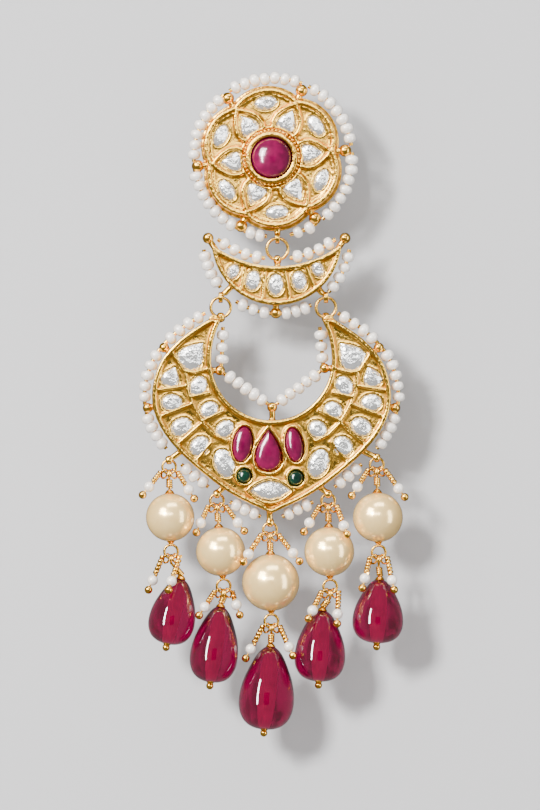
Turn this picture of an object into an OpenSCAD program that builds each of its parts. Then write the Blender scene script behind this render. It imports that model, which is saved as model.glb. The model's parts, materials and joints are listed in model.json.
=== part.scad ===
// Chandbali earring: a flower on an ear post, a crescent, and a pierced chand plate with five drops.
// Millimetres. X runs to the right as the earring is seen from the front, Z up, and the front faces -Y.
// The origin is the centre of the flower's back face, where the post enters the ear.
// A place on the front is a pair [x, z]. An angle is counter-clockwise as seen from the front.

/* [Plates] */
// Thickness of the three gold plates
plate_t = 2.4; // [2.2:0.1:2.6]
// Width of the raised rim along a plate's edge
rim_w = 0.6; // [0.5:0.05:0.7]
// Height of that rim over the plate
rim_h = 0.35; // [0.2:0.05:0.5]
// Depth of the pocket under a stone
pocket_depth = 1.2; // [1:0.1:1.4]
// Gap between a stone and its pocket
stone_gap = 0.08; // [0.05:0.01:0.12]
// Height of a cut stone's table over the plate
table_h = 0.5; // [0.3:0.05:0.6]

/* [Flower] */
// Turn of the flower's pattern from upright
flower_turn = 6; // [4:1:8]
// Radius of each of the six lobes
lobe_r = 6; // [5.9:0.05:6.1]
// Distance from the flower's centre to a lobe's centre
lobe_offset = 3.9; // [3.8:0.05:4]
// How much smaller the flower's upper tier is than its base
lobe_step = 0.4; // [0.2:0.1:0.6]
// Thickness of the flower's base tier
base_t = 1.2; // [0.8:0.1:1.5]
// Radius of the red cabochon
cabochon_r = 2.75; // [2.5:0.05:2.8]
// Height of the cabochon over the plate
cabochon_h = 2; // [1.5:0.1:2.2]
// Outer radius of the bezel round the cabochon
bezel_r = 3.5; // [3.4:0.05:3.6]
// Height of the bezel over the plate
bezel_h = 0.9; // [0.6:0.1:1]
// Radius of the ear post
post_r = 0.45; // [0.4:0.05:0.5]
// Length of the ear post behind the flower
post_length = 10.5; // [9:0.5:12]

/* [Crescent] */
// Middle of the crescent, to the right of the flower's middle
crescent_x = 0.69; // [0.6:0.01:0.75]
// Radius of the crescent's lower edge
crescent_low_r = 8.82; // [8.75:0.01:8.9]
// Height of that arc's centre
crescent_low_z = -11.13; // [-11.2:0.01:-11.05]
// Radius of the crescent's upper edge
crescent_top_r = 14.4; // [14.3:0.05:14.5]
// Height of that arc's centre
crescent_top_z = -0.3; // [-0.35:0.05:-0.25]

/* [Chand] */
// Radius of the round opening
opening_r = 8.2; // [8.1:0.05:8.3]
// Height of the opening's centre
opening_z = -27.4; // [-27.5:0.05:-27.3]
// How far the opening's upper half is stretched upward
opening_stretch = 10; // [9.8:0.1:10.2]

/* [Beads and wire] */
// Radius of a seed pearl
seed_r = 0.72; // [0.65:0.01:0.75]
// Radius of the wire of the rings and loops
wire_r = 0.18; // [0.16:0.01:0.2]
// Radius of the wire of the hang ring and the side rings
ring_wire_r = 0.21; // [0.19:0.01:0.22]
// Radius of the small dangles' wire
fine_wire_r = 0.12; // [0.11:0.01:0.13]
// Radius of the gold ball on a small dangle
dangle_ball_r = 0.55; // [0.5:0.01:0.58]
// Gap between a pin and the bore round it
bore_gap = 0.08; // [0.06:0.01:0.1]

/* [Hidden] */
STRINGS = ["drop1", "drop2", "drop3", "drop4", "drop5"];
PARTS = ["jump_ring", "big_pearl", "eye_pin", "ruby", "head_pin", "dangle_pins", "dangle_pearls"];

GOLD = "goldenrod";
WHITE_STONE = "aliceblue";
RED_STONE = "crimson";
GREEN_STONE = "darkgreen";
PEARL = "oldlace";

$fn = 48;
// How far a part that is soldered on starts inside the plate
SUNK = 0.3;
// All rings, strings and drops hang in the plates' middle plane.
hang_y = -plate_t / 2;
face_y = -plate_t;
// Gap between the end of a pearl string and the lug that holds it
string_gap = 0.15;
// Sides of a pearl string's tube and points along it
tube_sides = 8;
tube_steps = 5;
// Radius of the gold knobs and ball lugs on the edges, and of the stalks under them
knob_r = 0.62;
stalk_r = 0.42;
// Radius and thickness of the flat eyes that a ring swings in, and of the hole in them
eye_r = 0.75;
eye_t = 0.6;
eye_hole_r = 0.36;
// Room round a ring where it passes through a ball lug
ring_room = 0.1;

// Hang ring and side rings: middle and radius of the wire's centre line
hang_ring_r = 1.44;
hang_ring_at = [0.8, -12.3];
side_ring_r = 1.35;
side_ring_left_at = [-6.9, -20.25];
side_ring_right_at = [7.4, -20.25];
// Jump ring and pearl loop of a drop, and the small loops
jump_r = 0.92;
eye_loop_r = 0.55;
dangle_loop_r = 0.38;
// A pin's shaft is a little thinner than its loop, and an elbow a little thicker
shaft_share = 0.9;
elbow_share = 1.2;
// Gold ball under a ruby drop, and how far it is below the ruby
tip_ball_r = 0.5;
tip_drop = 0.55;

// Functions on pairs
function polar(r, a) = [r * cos(a), r * sin(a)];
function unit(v) = v / norm(v);
function left_of(v) = [-v[1], v[0]];
function mirrored(p) = [-p[0], p[1]];
function reversed(list) = [for (i = [len(list) - 1:-1:0]) list[i]];

// Smooth curve through a short list of points, which the parameter t counts from 0
function knot(pts, i) =
    i < 0 ? 2 * pts[0] - pts[1]
    : i >= len(pts) ? 2 * pts[len(pts) - 1] - pts[len(pts) - 2]
    : pts[i];
function curve_span(a, b, c, d, u) =
    0.5 * (2 * b + (c - a) * u + (2 * a - 5 * b + 4 * c - d) * u * u
           + (3 * b - a - 3 * c + d) * u * u * u);
function curve_at(pts, t) =
    let (i = min(floor(t), len(pts) - 2))
    curve_span(knot(pts, i - 1), knot(pts, i), knot(pts, i + 1), knot(pts, i + 2), t - i);
function curve_slope(pts, t) = (curve_at(pts, t + 0.01) - curve_at(pts, t - 0.01)) / 0.02;

// Outline of a stone: "oval", "pear" with its tip up, or "marquise" with its tips up and down
function stone_swell(shape, a) =
    shape == "pear" ? 1.3 * abs(sin(a / 2)) : shape == "marquise" ? abs(sin(a)) : 1;
function stone_outline(long, wide, shape, n = 12) =
    [for (i = [0:n - 1]) let (a = i * 360 / n)
        [-wide / 2 * sin(a) * stone_swell(shape, a), long / 2 * cos(a)]];

// Stones. Columns: x, z, length, width, turn of the tip from straight up, shape
STONE_X = 0;
STONE_Z = 1;
STONE_LONG = 2;
STONE_WIDE = 3;
STONE_TURN = 4;
STONE_SHAPE = 5;

// The flower's two rounds of six stones, at their distances from its centre
petal_at = 5.35;
lobe_stone_at = 7.45;
PETALS = [for (k = [0:5]) let (a = flower_turn + 60 * k, p = polar(petal_at, a))
    [p[0], p[1], 3.3, 2.7, a - 90, "pear"]];
LOBE_STONES = [for (k = [0:5]) let (a = flower_turn + 30 + 60 * k, p = polar(lobe_stone_at, a))
    [p[0], p[1], 2, 3.2, a - 90, "oval"]];
CRESCENT_STONES = [
    [-5.2, -15.45, 2.2, 1.7, -30, "oval"],
    [-2.5, -16.6, 2.8, 2.1, -12, "oval"],
    [0.6, -17.2, 3, 2.2, 0, "oval"],
    [3.8, -16.7, 2.8, 2.1, 12, "oval"],
    [6.3, -15.1, 2.3, 1.7, 30, "oval"]
];
CHAND_STONES = [
    [-10.7, -26.8, 4.4, 3.6, -40, "pear"],
    [-13.6, -29.7, 3, 2.6, -20, "pear"],
    [-13.5, -33.2, 2.4, 3, -5, "oval"],
    [-12.2, -36.5, 2.5, 3.1, 30, "oval"],
    [-9.7, -39.1, 2.6, 3, 45, "oval"],
    [-6.4, -41.4, 4, 2.8, 20, "oval"],
    [-9.9, -31, 3, 2.4, -25, "oval"],
    [-8.4, -34.2, 2.3, 2.7, 30, "oval"],
    [-6.3, -36.8, 2.3, 2.8, 40, "oval"]
];
MARQUISE = [-0.2, -45.1, 5.6, 2.7, 90, "marquise"];
RUBY_LEFT = [-3.9, -38.8, 4.8, 2.6, -8, "oval"];
RUBY_CENTRE = [-0.4, -39.6, 5.6, 3.5, 0, "pear"];
RUBY_RIGHT = [3.1, -38.9, 4.6, 2.3, 10, "oval"];
EMERALD_LEFT = [-3.7, -43.1, 1.9, 1.9, 0, "oval"];
EMERALD_RIGHT = [3.3, -43.4, 2, 2, 0, "oval"];
ALL_CHAND_STONES = concat(
    CHAND_STONES,
    [for (s = CHAND_STONES) [-s[STONE_X], s[STONE_Z], s[STONE_LONG], s[STONE_WIDE], -s[STONE_TURN],
                             s[STONE_SHAPE]]],
    [MARQUISE, RUBY_LEFT, RUBY_CENTRE, RUBY_RIGHT, EMERALD_LEFT, EMERALD_RIGHT]
);

// Outer edge of the chand's right half, from the horn to the tip. Columns: half width, height
CHAND_EDGE = [[8.5, -21.9], [12.3, -24.5], [15.1, -27.8], [16.2, -32.3], [15.1, -36.4],
              [11.7, -40.6], [5.8, -45.3], [0, -48.2]];
chand_horn = [7.75, -22];
chand_horn_r = 0.75;
// Where its knobs and drop lugs stand, as the edge curve's parameter
CHAND_LUGS = [1.55, 3.35, 4.85, 5.88];
// Distance of the pearl string's middle from the edge, and its runs between the knobs and lugs, as the
// edge curve's parameter. Columns: start, end
chand_string_out = 1.05;
CHAND_OUTER_RUNS = [[0.05, 1.38], [1.72, 3.18], [3.52, 4.52], [5.08, 5.62], [6.16, 6.78]];

// Drops. Columns: jump ring x and z; big pearl x, z and radius; ruby's top x and z, bottom x and z,
// widest radius
DROPS = [
    [-13.9, -41.9, -13.75, -48.75, 3.3, -12.3, -57.1, -14.2, -65.9, 3.2],
    [-7.4, -46.5, -6.9, -53.4, 3.35, -6.9, -60.9, -8.3, -71.1, 3.3],
    [-0.2, -50.4, -0.1, -57.6, 3.9, -0.1, -66.3, -1, -77.5, 3.8],
    [7.7, -46.5, 7.85, -53.4, 3.4, 6.9, -61.4, 6.4, -71, 3.5],
    [14.3, -41.6, 14.45, -48.75, 3.4, 14.7, -57.2, 14.3, -65.8, 3.5]
];
function ring_of(d) = [d[0], d[1]];
function pearl_of(d) = [d[2], d[3]];
function pearl_radius(d) = d[4];
function ruby_top(d) = [d[5], d[6]];
function ruby_tip(d) = [d[7], d[8]];
function ruby_radius(d) = d[9];

// Small dangles of each drop. Columns: ring it hangs on, side of that ring, gold ball's x and z, and how
// far the ball is in front of the middle plane
DANGLES = [
    [["upper", -1, -17.5, -45.7, 0], ["upper", 1, -10.5, -46.2, 0],
     ["lower", -1, -16.7, -58.6, 0], ["lower", 1, -13.9, -58.5, 2.8]],
    [["upper", -1, -10.2, -50.8, 0], ["upper", 1, -3.7, -50.6, 0],
     ["lower", -1, -9.8, -62, 1.5], ["lower", 1, -4.3, -62, 0.4]],
    [["upper", -1, -3.8, -54.7, 2.7], ["upper", 1, 3.8, -54.7, 0.6],
     ["lower", -1, -3.5, -67.9, 0], ["lower", 1, 2.9, -67.4, 2.3]],
    [["upper", -1, 4.4, -50.7, 0], ["upper", 1, 10.2, -51, 2.4],
     ["lower", -1, 5, -62.4, 2.5], ["lower", 1, 8.9, -63.1, 2.1]],
    [["upper", -1, 10.9, -45.8, 0], ["upper", 1, 18.1, -46, 0],
     ["lower", -1, 12.3, -58.3, 1.6], ["lower", 1, 16.6, -58.5, 2.1]]
];

// Solid that rises from height y0 towards the front by t, from a flat shape drawn as seen from the front
module from_face(y0, t) {
    translate([0, y0, 0]) rotate([90, 0, 0]) linear_extrude(height = t) children();
}

// Stands its children, drawn up the Z axis from the origin, at p in the direction of q
module along(p, q) {
    d = q - p;
    translate(p) rotate([0, acos(d[2] / norm(d)), atan2(d[1], d[0])]) children();
}

// Round bar between two places, each [x, y, z]
module bar(p, q, r) {
    along(p, q) cylinder(h = norm(q - p), r = r);
}

function in_plane(p) = [p[0], hang_y, p[1]];

module ball(p, r) {
    translate(in_plane(p)) sphere(r = r);
}

// Closed round of wire about the Z axis
module wire_loop(r, wire) {
    rotate_extrude() translate([r, 0]) circle(r = wire);
}

// Ring in the front plane
module ring(at, r, wire) {
    translate(in_plane(at)) rotate([90, 0, 0]) wire_loop(r, wire);
}

// Tube along points [x, z] of the middle plane
module tube(path, r) {
    n = len(path);
    function direction(i) = unit(path[min(i + 1, n - 1)] - path[max(i - 1, 0)]);
    points = [for (i = [0:n - 1]) let (side = left_of(direction(i)))
        for (k = [0:tube_sides - 1]) let (a = (k + 0.5) * 360 / tube_sides, u = r * cos(a))
            [path[i][0] + u * side[0], hang_y + r * sin(a), path[i][1] + u * side[1]]];
    walls = [for (i = [0:n - 2], k = [0:tube_sides - 1]) let (m = (k + 1) % tube_sides, b = i * tube_sides)
        [b + k, b + m, b + tube_sides + m, b + tube_sides + k]];
    ends = [[for (k = [tube_sides - 1:-1:0]) k],
            [for (k = [0:tube_sides - 1]) (n - 1) * tube_sides + k]];
    polyhedron(points = points, faces = concat(walls, ends));
}

// Run of seed pearls round a centre, between two angles
module arc_run(centre, r, a0, a1) {
    tube([for (i = [0:tube_steps - 1]) centre + polar(r, a0 + (a1 - a0) * i / (tube_steps - 1))], seed_r);
}

module straight_run(p, q) {
    tube([p, (p + q) / 2, q], seed_r);
}

// Angle that a length takes up on an arc
function arc_angle(length, r) = length / r * 180 / PI;

// Gap under a stone, height of its girdle's edge below the plate's face, and size of its table as a share
// of the girdle
floor_gap = 0.06;
girdle_depth = 0.1;
table_share = 0.55;

// Cut stone: straight girdle, then a crown of facets up to the table
module cut_stone(s, hue) {
    outline = stone_outline(s[STONE_LONG], s[STONE_WIDE], s[STONE_SHAPE]);
    n = len(outline);
    // Columns: scale of the outline, height over the pocket's floor
    levels = [[1, floor_gap], [1, pocket_depth - girdle_depth], [table_share, pocket_depth + table_h]];
    points = [for (l = levels, p = outline) [l[0] * p[0], l[0] * p[1], l[1]]];
    walls = [for (j = [0:1], k = [0:n - 1]) let (m = (k + 1) % n)
        [j * n + m, j * n + k, (j + 1) * n + k, (j + 1) * n + m]];
    caps = [[for (k = [0:n - 1]) k], [for (k = [n - 1:-1:0]) 2 * n + k]];
    color(hue)
        translate([s[STONE_X], face_y + pocket_depth, s[STONE_Z]])
            rotate([90, -s[STONE_TURN], 0])
                polyhedron(points = points, faces = concat(walls, caps));
}

module pocket(s) {
    grown = 2 * stone_gap;
    from_face(face_y + pocket_depth, pocket_depth + 1)
        translate([s[STONE_X], s[STONE_Z]])
            rotate(s[STONE_TURN])
                polygon(stone_outline(s[STONE_LONG] + grown, s[STONE_WIDE] + grown, s[STONE_SHAPE]));
}

// Gold knob or ball lug on a stalk that starts inside the plate
module knob(at, from, r = knob_r) {
    along(in_plane(from), in_plane(at)) {
        cylinder(h = norm(at - from), r = stalk_r);
        translate([0, 0, norm(at - from)]) sphere(r = r);
    }
}

// Room for a ring that passes through a lug
module ring_channel(at, r, wire) {
    ring(at, r, wire + ring_room);
}

// Flat eye with its hole along X, which a ring can swing in
module eye(at, from) {
    translate(in_plane(at)) rotate([0, 90, 0]) cylinder(h = eye_t, r = eye_r, center = true);
    bar(in_plane(from), in_plane(at), stalk_r);
}

module eye_hole(at) {
    translate(in_plane(at)) rotate([0, 90, 0]) cylinder(h = 2 * eye_r, r = eye_hole_r, center = true);
}

// Flower
flower_string_r = 10.75;
flower_knob_at = 10.3;
knob_root_at = 8;
// Length of a stalk from its ball or eye to its root in the plate
stalk = 1.6;
hang_eye = hang_ring_at + [0, hang_ring_r];
hang_angle = atan2(hang_eye[1], hang_eye[0]);

// Outline of the six lobes, drawn in by a distance
module lobe_outline(inset) {
    for (k = [0:5])
        rotate(flower_turn + 30 + 60 * k) translate([lobe_offset, 0]) circle(r = lobe_r - inset);
}

module flower_setting() {
    color(GOLD)
        difference() {
            union() {
                from_face(0, base_t) lobe_outline(0);
                from_face(-base_t / 2, plate_t - base_t / 2) lobe_outline(lobe_step);
                from_face(face_y + SUNK, rim_h + SUNK) difference() {
                    lobe_outline(lobe_step + 0.1);
                    lobe_outline(lobe_step + rim_w);
                }
                from_face(face_y + SUNK, bezel_h + SUNK) circle(r = bezel_r);
                for (k = [0:5]) {
                    a = flower_turn + 60 * k;
                    knob(polar(flower_knob_at, a), polar(knob_root_at, a));
                }
                eye(hang_eye, hang_eye + [0, stalk]);
                rotate([-90, 0, 0]) translate([0, 0, -SUNK]) cylinder(h = post_length + SUNK, r = post_r);
            }
            for (s = concat(PETALS, LOBE_STONES)) pocket(s);
            from_face(face_y + pocket_depth, pocket_depth + bezel_h + 1) circle(r = cabochon_r + stone_gap);
            eye_hole(hang_eye);
        }
}

module flower_ruby() {
    // Sphere whose cap meets the girdle at the bezel's height
    rise = cabochon_h - bezel_h / 2;
    cap_r = (cabochon_r * cabochon_r + rise * rise) / (2 * rise);
    color(RED_STONE)
        intersection() {
            from_face(face_y + pocket_depth - floor_gap, pocket_depth + cabochon_h) circle(r = cabochon_r);
            translate([0, face_y - cabochon_h + cap_r, 0]) sphere(r = cap_r);
        }
}

module flower_stones_inner() {
    for (s = PETALS) cut_stone(s, WHITE_STONE);
}

module flower_stones_outer() {
    for (s = LOBE_STONES) cut_stone(s, WHITE_STONE);
}

module flower_pearls() {
    // The six knobs and the hang ring part the string into seven runs.
    room = arc_angle(knob_r + string_gap, flower_string_r);
    ring_room_angle = arc_angle(hang_ring_r + ring_wire_r + string_gap, flower_string_r - seed_r);
    color(PEARL)
        for (k = [0:5]) {
            a0 = flower_turn + 60 * k + room;
            a1 = flower_turn + 60 * (k + 1) - room;
            if (k == 4) {
                arc_run([0, 0], flower_string_r, a0, hang_angle + 360 - ring_room_angle);
                arc_run([0, 0], flower_string_r, hang_angle + 360 + ring_room_angle, a1);
            } else {
                arc_run([0, 0], flower_string_r, a0, a1);
            }
        }
}

// Crescent
crescent_low = [crescent_x, crescent_low_z];
crescent_top = [crescent_x, crescent_top_z];
crescent_low_string_r = 9.95;
crescent_top_string_r = 13.35;
// Runs of its pearls, clear of the lugs and rings. Columns: start and end angle
CRESCENT_TOP_RUNS = [[-125.5, -98], [-81, -54.5]];
CRESCENT_LOW_RUNS = [[-171, -141.5], [-122, -95], [-86, -63.5], [-43.5, -9]];
// Right horn's ball, from the crescent's middle line, and the root of its stalk; knob at the bottom
crescent_horn = [9.3, -10.85];
crescent_horn_root = [8.2, -12.5];
crescent_bottom_knob = [0.6, -21.15];
top_lug = hang_ring_at - [0, hang_ring_r];
left_eye = side_ring_left_at + [0, side_ring_r];
right_eye = side_ring_right_at + [0, side_ring_r];

module hang_ring() {
    color(GOLD) ring(hang_ring_at, hang_ring_r, ring_wire_r);
}

module crescent_outline(inset) {
    difference() {
        translate(crescent_low) circle(r = crescent_low_r - inset, $fn = 96);
        translate(crescent_top) circle(r = crescent_top_r + inset, $fn = 96);
    }
}

module crescent_setting() {
    // A point inside the plate, on the way from its middle to a lug
    function inside_edge(p) = crescent_low + (crescent_low_r - 1) * unit(p - crescent_low);
    color(GOLD)
        difference() {
            union() {
                from_face(0, plate_t) crescent_outline(0);
                from_face(face_y + SUNK, rim_h + SUNK) difference() {
                    crescent_outline(0);
                    crescent_outline(rim_w);
                }
                for (side = [-1, 1])
                    knob([crescent_x + side * crescent_horn[0], crescent_horn[1]],
                         [crescent_x + side * crescent_horn_root[0], crescent_horn_root[1]]);
                knob(top_lug, top_lug - [0, stalk]);
                knob(crescent_bottom_knob, crescent_bottom_knob + [0, stalk]);
                eye(left_eye, inside_edge(left_eye));
                eye(right_eye, inside_edge(right_eye));
            }
            for (s = CRESCENT_STONES) pocket(s);
            ring_channel(hang_ring_at, hang_ring_r, ring_wire_r);
            eye_hole(left_eye);
            eye_hole(right_eye);
        }
}

module crescent_stones() {
    for (s = CRESCENT_STONES) cut_stone(s, WHITE_STONE);
}

module crescent_pearls() {
    color(PEARL) {
        for (run = CRESCENT_TOP_RUNS) arc_run(crescent_top, crescent_top_string_r, run[0], run[1]);
        for (run = CRESCENT_LOW_RUNS) arc_run(crescent_low, crescent_low_string_r, run[0], run[1]);
    }
}

// Chand
module side_ring_left() {
    color(GOLD) ring(side_ring_left_at, side_ring_r, ring_wire_r);
}

module side_ring_right() {
    color(GOLD) ring(side_ring_right_at, side_ring_r, ring_wire_r);
}

// Points along the chand's right edge, drawn in by a distance
function edge_point(t, out) =
    let (p = curve_at(CHAND_EDGE, t), d = unit(curve_slope(CHAND_EDGE, t))) p + out * left_of(d);
function edge_points(inset) =
    [for (i = [0:4 * (len(CHAND_EDGE) - 1)]) let (p = edge_point(i / 4, -inset)) [max(p[0], 0), p[1]]];
// Opening: a half circle below, stretched upward above its centre as far as the horns, which end at an
// angle over the horizontal
function opening_point(a, grow) =
    [(opening_r + grow) * cos(a), opening_z + ((a > 0 ? opening_stretch : opening_r) + grow) * sin(a)];
horn_angle = 32;
opening_steps = 30;

module chand_outline(inset) {
    right = edge_points(inset);
    left = [for (p = right) mirrored(p)];
    // Down the right edge, up the left one and round the opening
    round_opening = [for (i = [0:opening_steps])
        let (a = -180 - horn_angle + (2 * horn_angle + 180) * i / opening_steps)
        opening_point(a < -180 ? a + 360 : a, inset)];
    polygon(concat(right, reversed([for (i = [0:len(left) - 2]) left[i]]), round_opening));
}

// Knobs of the outer edge, lugs of the side rings, and knobs of the opening's edge
edge_knob_r = 0.55;
side_lug_r = 0.7;
inner_knob_r = 0.5;
centre_knob = [0.1, -33.8];
inner_knob_left = [-7, -28.8];
inner_knob_right = [7.2, -28.5];
// Edge curve's parameter at the root of the lowest drop's lug
tip_lug_t = 6.9;

function jump_lug(d) = ring_of(d) + [0, jump_r];

module chand_setting() {
    color(GOLD)
        difference() {
            union() {
                from_face(0, plate_t) chand_outline(0);
                from_face(face_y + SUNK, rim_h + SUNK) difference() {
                    chand_outline(0);
                    chand_outline(rim_w);
                }
                for (side = [-1, 1]) {
                    from_face(0, plate_t)
                        translate([side * chand_horn[0], chand_horn[1]]) circle(r = chand_horn_r);
                    for (t = [CHAND_LUGS[0], CHAND_LUGS[1]]) {
                        at = edge_point(t, chand_string_out - 0.2);
                        from = edge_point(t, -0.5);
                        knob([side * at[0], at[1]], [side * from[0], from[1]], edge_knob_r);
                    }
                }
                for (p = [side_ring_left_at, side_ring_right_at]) ball(p - [0, side_ring_r], side_lug_r);
                for (d = DROPS) {
                    at = jump_lug(d);
                    side = at[0] < 0 ? -1 : 1;
                    t = abs(at[0]) > 10 ? CHAND_LUGS[2] : abs(at[0]) > 4 ? CHAND_LUGS[3] : tip_lug_t;
                    from = edge_point(t, -0.6);
                    knob(at, [side * from[0], from[1]]);
                }
                knob(centre_knob, centre_knob - [0, stalk + inner_knob_r], inner_knob_r);
                knob(inner_knob_left, inner_knob_left - [stalk, 0], inner_knob_r);
                knob(inner_knob_right, inner_knob_right + [stalk, 0], inner_knob_r);
            }
            for (s = ALL_CHAND_STONES) pocket(s);
            for (p = [side_ring_left_at, side_ring_right_at]) ring_channel(p, side_ring_r, ring_wire_r);
            for (d = DROPS) ring_channel(ring_of(d), jump_r, wire_r);
        }
}

module chand_stones_left() {
    for (s = CHAND_STONES) cut_stone(s, WHITE_STONE);
}

module chand_stones_right() {
    for (i = [0:len(CHAND_STONES) - 1]) cut_stone(ALL_CHAND_STONES[len(CHAND_STONES) + i], WHITE_STONE);
}

// Where the inner string starts under the right horn
inner_string_start = [6.6, -23.2];

module chand_pearls_inner() {
    // Room for the knob at the end of a run
    room = inner_knob_r + string_gap;
    color(PEARL)
        for (k = [inner_knob_left, inner_knob_right]) {
            side = k[0] < 0 ? -1 : 1;
            run = unit(centre_knob - k);
            straight_run([side * inner_string_start[0], inner_string_start[1]], k + [-side * room / 3, room]);
            straight_run(k + (room + seed_r / 2) * run, centre_knob - (room + seed_r / 2) * run);
        }
}

// Runs of seed pearls along one half of the chand's outer edge, between its knobs and lugs
module outer_runs(side) {
    for (run = CHAND_OUTER_RUNS) {
        points = [for (j = [0:tube_steps - 1])
            let (p = edge_point(run[0] + (run[1] - run[0]) * j / (tube_steps - 1), chand_string_out))
            [side * p[0], p[1]]];
        tube(side < 0 ? reversed(points) : points, seed_r);
    }
}

module chand_pearls_outer_left() {
    color(PEARL) outer_runs(-1);
}

module chand_pearls_outer_right() {
    color(PEARL) outer_runs(1);
}

// Drops. The eye pin hangs by its upper loop on the jump ring, runs through the big pearl and ends in a
// wide lower ring. The head pin's loop hangs on that ring, and the pin runs through the ruby.
// Gap between two linked rings, between a big pearl and the ring under it, and over a ruby
link_gap = 0.08;
pearl_gap = 0.25;
ruby_gap = 0.5;
// From the middle of a ring to the middle of the loop that hangs on it
link_step = [0, jump_r + eye_loop_r - 2 * wire_r - link_gap];
function upper_loop(d) = ring_of(d) - link_step;
function pearl_axis(d) = unit(upper_loop(d) - pearl_of(d));
function lower_ring(d) = pearl_of(d) - (pearl_radius(d) + pearl_gap + jump_r + wire_r) * pearl_axis(d);
function head_loop(d) = lower_ring(d) - link_step;
function ruby_axis(d) = unit(ruby_top(d) - ruby_tip(d));
function elbow(d) = ruby_top(d) + ruby_gap * ruby_axis(d);

module jump_ring(d) {
    color(GOLD) ring(ring_of(d), jump_r, wire_r);
}

module big_pearl(d) {
    color(PEARL)
        along(in_plane(pearl_of(d)), in_plane(upper_loop(d))) difference() {
            sphere(r = pearl_radius(d));
            cylinder(h = 3 * pearl_radius(d), r = wire_r + bore_gap, center = true);
        }
}

module eye_pin(d) {
    length = norm(upper_loop(d) - lower_ring(d));
    color(GOLD)
        along(in_plane(lower_ring(d)), in_plane(upper_loop(d))) {
            rotate([90, 0, 0]) wire_loop(jump_r, wire_r);
            translate([0, 0, jump_r])
                cylinder(h = length - jump_r - eye_loop_r, r = shaft_share * wire_r);
            translate([0, 0, length]) rotate([0, 90, 0]) wire_loop(eye_loop_r, wire_r);
        }
}

// Teardrop, drawn as its half profile from the tip of the pin up
module teardrop(long, r) {
    // Columns: radius as a share of the widest, height as a share of the length
    profile = [[0.24, 0], [0.5, 0.03], [0.74, 0.08], [0.92, 0.17], [1, 0.3], [0.98, 0.42], [0.93, 0.53],
               [0.83, 0.64], [0.68, 0.76], [0.52, 0.87], [0.38, 0.95], [0.2, 1]];
    rotate_extrude()
        polygon(concat([[0, 0]], [for (p = profile) [p[0] * r, p[1] * long]], [[0, long]]));
}

module along_ruby(d) {
    up = ruby_axis(d);
    translate(in_plane(ruby_tip(d))) rotate([0, atan2(up[0], up[1]), 0]) children();
}

module ruby(d) {
    long = norm(ruby_top(d) - ruby_tip(d));
    color(RED_STONE)
        along_ruby(d) difference() {
            teardrop(long, ruby_radius(d));
            translate([0, 0, -1]) cylinder(h = long + 2, r = wire_r + bore_gap);
        }
}

module head_pin(d) {
    neck = head_loop(d) - [0, eye_loop_r];
    pin_length = norm(elbow(d) - ruby_tip(d)) + tip_drop;
    color(GOLD) {
        translate(in_plane(head_loop(d))) rotate([0, 90, 0]) wire_loop(eye_loop_r, wire_r);
        along(in_plane(elbow(d)), in_plane(neck)) {
            sphere(r = elbow_share * wire_r);
            cylinder(h = norm(neck - elbow(d)), r = shaft_share * wire_r);
        }
        along(in_plane(elbow(d)), in_plane(ruby_tip(d))) {
            cylinder(h = pin_length, r = shaft_share * wire_r);
            translate([0, 0, pin_length]) sphere(r = tip_ball_r);
        }
    }
}

// A dangle's loop is round the wire of the ring that carries it, at this angle from its lowest point, and
// the pin leaves it on the side away from the ring.
dangle_angle = 58;
function dangle_ring(d, row) = row[0] == "lower" ? lower_ring(d) : ring_of(d);
function dangle_way(row) = [row[1] * sin(dangle_angle), -cos(dangle_angle)];
function dangle_loop(d, row) = dangle_ring(d, row) + jump_r * dangle_way(row);
function dangle_start(d, row) = in_plane(dangle_loop(d, row) + dangle_loop_r * dangle_way(row));
function dangle_end(row) = [row[2], hang_y - row[4], row[3]];
dangle_pearl_back = dangle_ball_r + seed_r + string_gap;

module dangle_pins(d, rows) {
    color(GOLD)
        for (row = rows) {
            start = dangle_start(d, row);
            end = dangle_end(row);
            along(in_plane(dangle_loop(d, row)), start)
                rotate([0, 90, 0]) wire_loop(dangle_loop_r, fine_wire_r);
            along(start, end) {
                sphere(r = elbow_share * fine_wire_r);
                cylinder(h = norm(end - start), r = shaft_share * fine_wire_r);
                translate([0, 0, norm(end - start)]) sphere(r = dangle_ball_r);
            }
        }
}

module dangle_pearls(d, rows) {
    color(PEARL)
        for (row = rows) {
            start = dangle_start(d, row);
            end = dangle_end(row);
            along(start, end) translate([0, 0, norm(end - start) - dangle_pearl_back]) difference() {
                sphere(r = seed_r);
                cylinder(h = 3 * seed_r, r = fine_wire_r + bore_gap, center = true);
            }
        }
}

module drop_part(i, name) {
    d = DROPS[i];
    if (name == "jump_ring") jump_ring(d);
    if (name == "big_pearl") big_pearl(d);
    if (name == "eye_pin") eye_pin(d);
    if (name == "ruby") ruby(d);
    if (name == "head_pin") head_pin(d);
    if (name == "dangle_pins") dangle_pins(d, DANGLES[i]);
    if (name == "dangle_pearls") dangle_pearls(d, DANGLES[i]);
}

flower_setting();
flower_ruby();
flower_stones_inner();
flower_stones_outer();
flower_pearls();
hang_ring();
crescent_setting();
crescent_stones();
crescent_pearls();
side_ring_left();
side_ring_right();
chand_setting();
chand_stones_left();
chand_stones_right();
cut_stone(MARQUISE, WHITE_STONE);  // chand_marquise
cut_stone(RUBY_LEFT, RED_STONE);  // chand_ruby_left
cut_stone(RUBY_CENTRE, RED_STONE);  // chand_ruby_centre
cut_stone(RUBY_RIGHT, RED_STONE);  // chand_ruby_right
cut_stone(EMERALD_LEFT, GREEN_STONE);  // chand_emerald_left
cut_stone(EMERALD_RIGHT, GREEN_STONE);  // chand_emerald_right
chand_pearls_inner();
chand_pearls_outer_left();
chand_pearls_outer_right();
for (i = [0:len(STRINGS) - 1], p = PARTS)
    drop_part(i, p);
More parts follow.
